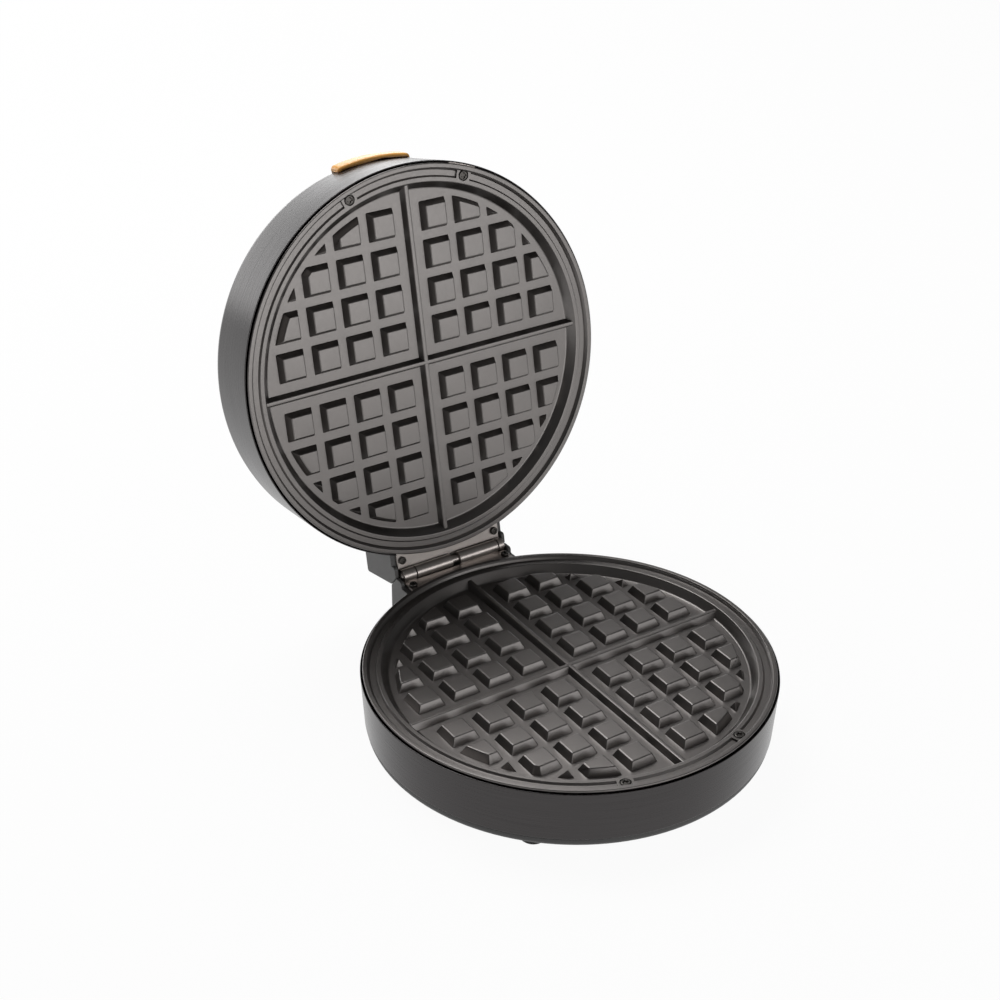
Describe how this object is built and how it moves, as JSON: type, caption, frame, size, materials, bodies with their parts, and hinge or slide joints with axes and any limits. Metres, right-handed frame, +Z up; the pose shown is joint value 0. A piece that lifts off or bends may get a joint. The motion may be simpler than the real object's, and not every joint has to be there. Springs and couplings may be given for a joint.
{
  "type": "waffle maker",
  "caption": "Round countertop waffle maker with a hinged lid, non-stick grid plates, dark brushed metal housings and an orange lip handle.",
  "frame": {"origin": "on the table, under the middle of the object's box with the lid open on its stop; the base's own axis is 43.75 mm in front of it (towards -Y)", "axes": "+Z up, -Y to the front where the lid's handle is when shut, +Y to the hinge side, +X to the right as seen from the front"},
  "size_m": [0.204, 0.2917, 0.2433],
  "materials": {
    "housing_metal": "dark brushed sheet, satin",
    "plate_coating": "dark non-stick coating on a casting, semi-gloss",
    "bright_steel": "plain zinc-plated steel, satin",
    "hinge_plastic": "moulded grey plastic, matte",
    "cover_plastic": "moulded black plastic, matte",
    "foot_rubber": "black rubber, matte",
    "handle_plastic": "orange moulded plastic, satin",
    "element_sheath": "heat-tinted steel tube, satin",
    "reflector_sheet": "bright sheet",
    "thermostat_ceramic": "unglazed ceramic, matte",
    "sleeve_fabric": "woven glass sleeve, matte",
    "red_lens": "clear-tinted moulded lens, gloss",
    "green_lens": "clear-tinted moulded lens, gloss",
    "lamp_glass": "small glass lamp"
  },
  "bodies": {
    "base": {"base_housing": "housing_metal", "bottom_cover": "cover_plastic", "bottom_cover_screws": "bright_steel", "foot_front_left": "foot_rubber", "foot_front_right": "foot_rubber", "foot_rear_left": "foot_rubber", "foot_rear_right": "foot_rubber", "lower_plate": "plate_coating", "lower_plate_screws": "bright_steel", "lower_plate_brackets": "bright_steel", "lower_element": "element_sheath", "lower_element_clamps": "bright_steel", "lower_clamp_screws": "bright_steel", "lower_reflector": "reflector_sheet", "thermostat": "thermostat_ceramic", "thermal_fuse": "sleeve_fabric", "fuse_clip": "bright_steel", "terminal_block": "cover_plastic", "base_hinge_block": "hinge_plastic", "base_block_screws": "bright_steel", "base_hinge_leaf": "bright_steel", "base_leaf_screws": "bright_steel", "hinge_pin": "bright_steel", "cord_grommet": "foot_rubber"},
    "lid": {"lid_housing": "housing_metal", "upper_plate": "plate_coating", "upper_plate_screws": "bright_steel", "upper_plate_brackets": "bright_steel", "upper_element": "element_sheath", "upper_element_clamps": "bright_steel", "upper_clamp_screws": "bright_steel", "upper_reflector": "reflector_sheet", "lid_handle": "handle_plastic", "handle_screws": "bright_steel", "lid_hinge_block": "hinge_plastic", "lid_block_screws": "bright_steel", "lid_hinge_leaf": "bright_steel", "lid_leaf_screws": "bright_steel", "power_lens": "red_lens", "power_lamp": "lamp_glass", "ready_lens": "green_lens", "ready_lamp": "lamp_glass"}
  },
  "joints": [
    {"name": "lid_hinge", "type": "hinge", "parent": "base", "child": "lid", "pos_m": [0, 0.06475, 0.03727], "axis": [1, 0, 0], "range_deg": [0, 101.4]}
  ]
}
